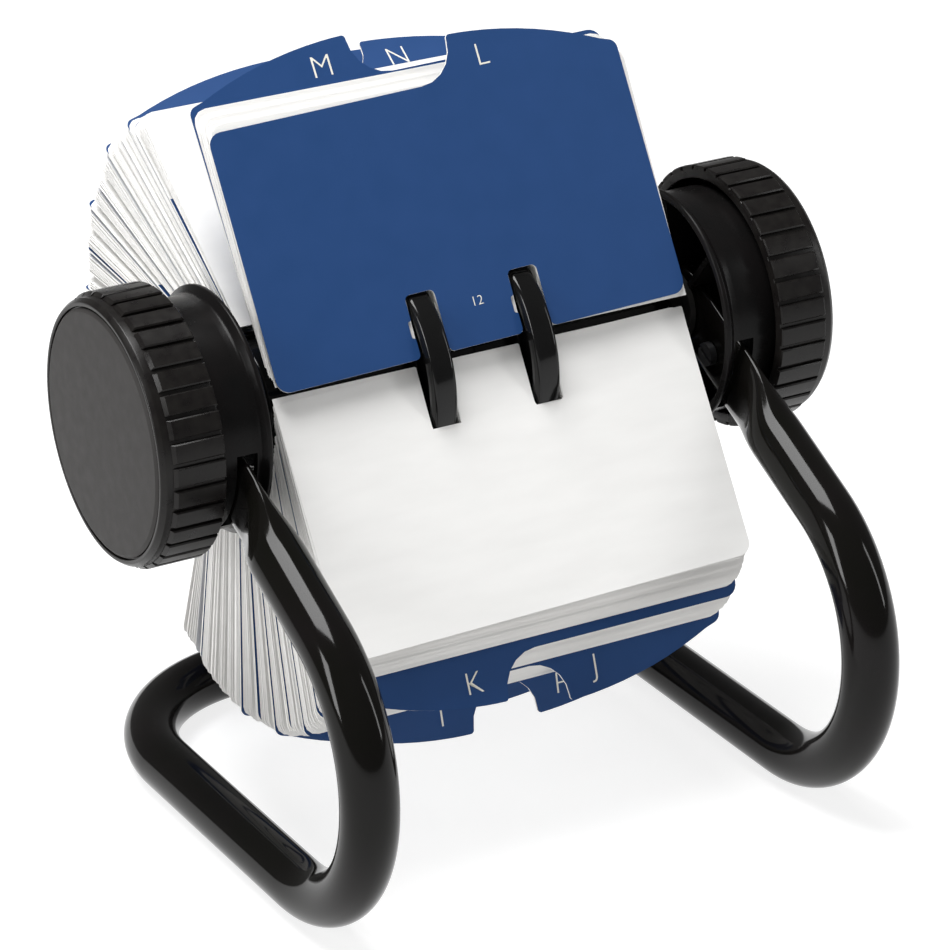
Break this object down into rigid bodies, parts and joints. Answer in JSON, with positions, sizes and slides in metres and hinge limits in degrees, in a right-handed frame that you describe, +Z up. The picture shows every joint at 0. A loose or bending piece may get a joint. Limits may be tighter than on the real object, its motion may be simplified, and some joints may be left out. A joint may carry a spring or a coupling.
{
  "type": "rotary card file",
  "caption": "Open desktop rotary card file: a wheel of slotted cards with blue tabbed index guides on two rails, ribbed side knobs and a bent black tube stand.",
  "frame": {"origin": "on the desk, in the middle of the footprint of stand and wheel together", "axes": "+X right along the axle, +Y back, +Z up; the two open leaves face the front (-Y)"},
  "size_m": [0.167, 0.1726, 0.1703],
  "materials": {
    "stand_black": "gloss",
    "hub_black": "gloss",
    "core_black": "gloss",
    "knob_black": "satin, fine grain",
    "knob_face": "fine matt grain",
    "bush_white": "natural moulded",
    "steel": "zinc plated",
    "steel_dark": "black oxide",
    "chrome": "polished",
    "card_white": "smooth card",
    "guide_blue": "laminated card"
  },
  "bodies": {
    "stand": {"frame_tube": "stand_black", "hub_left": "hub_black", "hub_right": "hub_black", "bush_left": "hub_black", "bush_right": "hub_black", "frame_screws": "steel_dark"},
    "wheel": {"axle": "steel", "spacer_left": "hub_black", "spacer_right": "hub_black", "core_left": "core_black", "core_right": "core_black", "knob_left": "knob_black", "knob_right": "knob_black", "knob_face_left": "knob_face", "knob_face_right": "knob_face", "knob_screws": "steel", "clutch_plate": "steel", "clutch_spring": "steel", "front_card": "card_white", "cards_l_m": "card_white", "cards_n_o": "card_white", "cards_p_q": "card_white", "cards_r_s": "card_white", "cards_t_u": "card_white", "cards_v_w": "card_white", "cards_xyz_a": "card_white", "cards_b_c": "card_white", "cards_d_e": "card_white", "cards_f_g": "card_white", "cards_h_i": "card_white", "cards_j_k": "card_white", "guide_m": "guide_blue", "guide_n": "guide_blue", "guide_o": "guide_blue", "guide_p": "guide_blue", "guide_q": "guide_blue", "guide_r": "guide_blue", "guide_s": "guide_blue", "guide_t": "guide_blue", "guide_u": "guide_blue", "guide_v": "guide_blue", "guide_w": "guide_blue", "guide_xyz": "guide_blue", "guide_a": "guide_blue", "guide_b": "guide_blue", "guide_c": "guide_blue", "guide_d": "guide_blue", "guide_e": "guide_blue", "guide_f": "guide_blue", "guide_g": "guide_blue", "guide_h": "guide_blue", "guide_i": "guide_blue", "guide_j": "guide_blue", "guide_k": "guide_blue"},
    "clutch_race": {"clutch_cage": "bush_white", "clutch_balls": "chrome"},
    "leaf": {"guide_l": "guide_blue"}
  },
  "joints": [
    {"name": "wheel_spin", "type": "hinge", "parent": "stand", "child": "wheel", "pos_m": [0, -0.00274, 0.1006], "axis": [1, 0, 0], "continuous": true},
    {"name": "clutch_roll", "type": "hinge", "parent": "stand", "child": "clutch_race", "pos_m": [0, -0.00274, 0.1006], "axis": [1, 0, 0], "continuous": true},
    {"name": "leaf_flip", "type": "hinge", "parent": "wheel", "child": "leaf", "pos_m": [0, -0.02203, 0.10907], "axis": [1, 0, 0], "range_deg": [0, 176]}
  ],
  "couplings": [
    {"joint": "clutch_roll", "follows": "wheel_spin", "ratio": 0.5}
  ]
}
